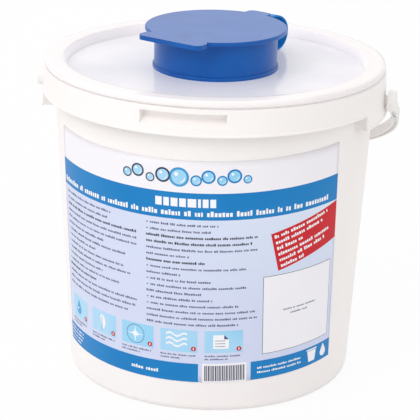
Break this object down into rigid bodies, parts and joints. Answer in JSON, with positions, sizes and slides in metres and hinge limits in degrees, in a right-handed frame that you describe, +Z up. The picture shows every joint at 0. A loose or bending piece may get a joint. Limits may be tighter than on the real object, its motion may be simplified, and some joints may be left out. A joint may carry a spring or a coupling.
{
  "type": "countertop wipes dispenser",
  "caption": "Tapered plastic wet-wipe bucket with a push-on recessed lid, a flip-top dispensing neck, a swinging carry handle and a wrapped front label.",
  "frame": {"origin": "centre of the base, on the table", "axes": "+Z up, front (label side) towards -Y, handle pivots on the X axis"},
  "size_m": [0.2394, 0.226, 0.2329],
  "materials": {
    "bucket_plastic": "satin white polypropylene",
    "handle_plastic": "satin white polypropylene",
    "lid_plastic": "natural polypropylene, slightly translucent",
    "neck_plastic": "glossy blue polypropylene",
    "nozzle_plastic": "soft pale elastomer",
    "cap_plastic": "glossy blue polypropylene",
    "strap_plastic": "flexible blue polypropylene",
    "wipes": "wound white nonwoven",
    "wipe": "gathered white nonwoven",
    "label_film": "printed film"
  },
  "bodies": {
    "pail": {"bucket": "bucket_plastic", "front_label": "label_film", "wipes_roll": "wipes"},
    "handle": {"carry_handle": "handle_plastic"},
    "lid": {"lid": "lid_plastic", "dispenser_neck": "neck_plastic", "star_nozzle": "nozzle_plastic", "hinge_strap": "strap_plastic", "wipe_tail": "wipe"},
    "cap": {"flip_cap": "cap_plastic"}
  },
  "joints": [
    {"name": "handle_swing", "type": "hinge", "parent": "pail", "child": "handle", "pos_m": [0, 0, 0.1914], "axis": [1, 0, 0], "range_deg": [0, 243.8]},
    {"name": "lid_lift", "type": "slide", "parent": "pail", "child": "lid", "axis": [0, 0, 1], "range_m": [0, 0.12]},
    {"name": "cap_flip", "type": "hinge", "parent": "lid", "child": "cap", "pos_m": [0.02847, 0.06395, 0.22], "axis": [-0.9135, 0.4067, 0], "range_deg": [0, 165], "deforming": ["hinge_strap"]}
  ]
}
